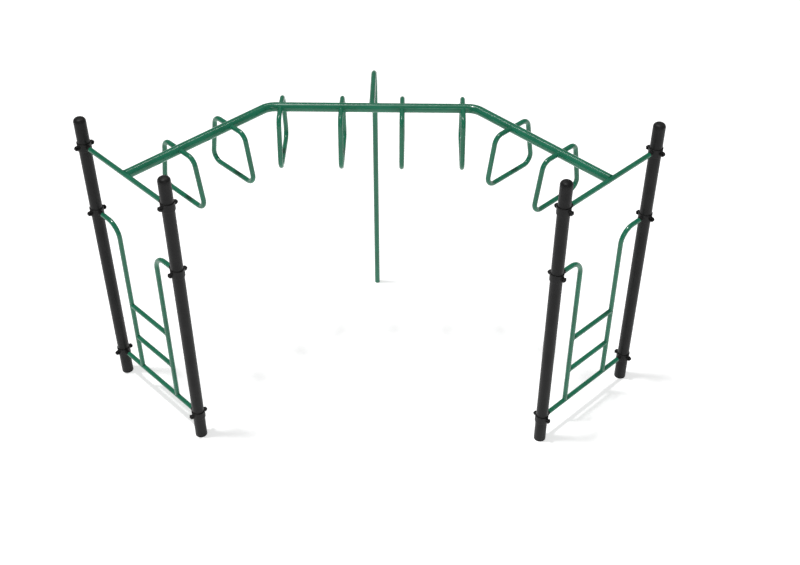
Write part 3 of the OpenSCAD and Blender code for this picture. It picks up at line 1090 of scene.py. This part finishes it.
make_posts()
make_caps()
make_beam()
make_loops()
make_support()
make_ladders()
make_clamps()
make_bolts()
make_rivets()


# ---------------------------------------------------------------- studio
FLOOR_HALF = 200
FLOOR_GLOW = 0.56
FLOOR_WHITE = (0.8, 0.8, 0.8, 1)
WHITE = (1, 1, 1, 1)
WORLD_LIGHT = 0.3
SUN_WAY = (0.2, -0.008, -1)
SUN_WIDTH = 5
SUN_STRENGTH = 2.0
FILL_PLACE = (1.5, -7.0, 5.5)
FILL_AIM = (0, 0, 1)
FILL_SIZE = (3, 1.5)
FILL_POWER = 60
STRIP_PLACE = (-0.9, 1.9, 7.0)
STRIP_AIM = (-0.9, 0.5, 2.1)
STRIP_SIZE = (3.8, 0.25)
STRIP_POWER = 60
CAMERA_AIM_FROM_MIDDLE = Vector((0.220, -0.509, 0.006))
CAMERA_DISTANCE = 8.930
CAMERA_AZIMUTH = 0.859
CAMERA_ELEVATION = 39.908
CAMERA_ROLL = 0.07
CAMERA_LENS = 55.37
CAMERA_SENSOR = 36


def make_floor():
    """A plain white sheet that glows a little, so that the shadows on it stay faint."""
    mesh = bpy.data.meshes.new("floor")
    half = FLOOR_HALF
    corners = [(-half, -half, 0), (half, -half, 0), (half, half, 0), (-half, half, 0)]
    mesh.from_pydata(corners, [], [(0, 1, 2, 3)])
    floor = bpy.data.objects.new("floor", mesh)
    bpy.context.scene.collection.objects.link(floor)
    material = bpy.data.materials.new("pale_floor")
    material.use_nodes = True
    shader = material.node_tree.nodes["Principled BSDF"]
    shader.inputs["Base Color"].default_value = FLOOR_WHITE
    shader.inputs["Roughness"].default_value = 1.0
    shader.inputs["Specular IOR Level"].default_value = 0.0
    shader.inputs["Emission Color"].default_value = WHITE
    shader.inputs["Emission Strength"].default_value = FLOOR_GLOW
    mesh.materials.append(material)


def make_light(name, place, aim, size, power, gloss_only=False):
    """A flat rectangular lamp; a gloss-only one draws a highlight and lights nothing else."""
    data = bpy.data.lights.new(name, "AREA")
    data.shape = "RECTANGLE"
    data.size, data.size_y = size
    data.energy = power
    lamp = bpy.data.objects.new(name, data)
    bpy.context.scene.collection.objects.link(lamp)
    lamp.location = place
    lamp.rotation_mode = "QUATERNION"
    lamp.rotation_quaternion = (Vector(aim) - Vector(place)).to_track_quat("-Z", "Y")
    lamp.visible_diffuse = not gloss_only
    lamp.visible_camera = False


def make_sun(way, width, strength):
    """The main light: high and a little to the left, width degrees wide."""
    data = bpy.data.lights.new("sun", "SUN")
    data.angle = math.radians(width)
    data.energy = strength
    lamp = bpy.data.objects.new("sun", data)
    bpy.context.scene.collection.objects.link(lamp)
    lamp.rotation_mode = "QUATERNION"
    lamp.rotation_quaternion = Vector(way).to_track_quat("-Z", "Y")


def make_world(strength):
    """Even white all round: of full strength behind the object, and weaker as a light."""
    world = bpy.data.worlds.new("studio")
    world.use_nodes = True
    tree = world.node_tree
    background = tree.nodes["Background"]
    background.inputs["Color"].default_value = WHITE
    seen = tree.nodes.new("ShaderNodeLightPath").outputs["Is Camera Ray"]
    link(tree, math_node(tree, "MAXIMUM", seen, strength), background.inputs["Strength"])
    bpy.context.scene.world = world


def make_camera(aim, distance, azimuth, elevation, roll, lens):
    """Azimuth 0 looks along +Y; a positive one stands to the right of the aim."""
    a, e = math.radians(azimuth), math.radians(elevation)
    back = Vector((math.sin(a) * math.cos(e), -math.cos(a) * math.cos(e), math.sin(e)))
    camera = bpy.data.objects.new("camera", bpy.data.cameras.new("camera"))
    bpy.context.scene.collection.objects.link(camera)
    camera.data.sensor_width = CAMERA_SENSOR
    camera.data.lens = lens
    camera.location = aim + back * distance
    camera.rotation_mode = "QUATERNION"
    level = (-back).to_track_quat("-Z", "Y")
    camera.rotation_quaternion = level @ Matrix.Rotation(math.radians(roll), 3, "Z").to_quaternion()
    bpy.context.scene.camera = camera


camera_aim = (cad_low + cad_high) / 2 + CAMERA_AIM_FROM_MIDDLE
make_camera(
    camera_aim, CAMERA_DISTANCE, CAMERA_AZIMUTH, CAMERA_ELEVATION, CAMERA_ROLL, CAMERA_LENS,
)
make_floor()
make_world(WORLD_LIGHT)
make_sun(SUN_WAY, SUN_WIDTH, SUN_STRENGTH)
make_light("fill", FILL_PLACE, FILL_AIM, FILL_SIZE, FILL_POWER)
make_light("strip", STRIP_PLACE, STRIP_AIM, STRIP_SIZE, STRIP_POWER, gloss_only=True)
bpy.context.scene.view_settings.view_transform = "Standard"
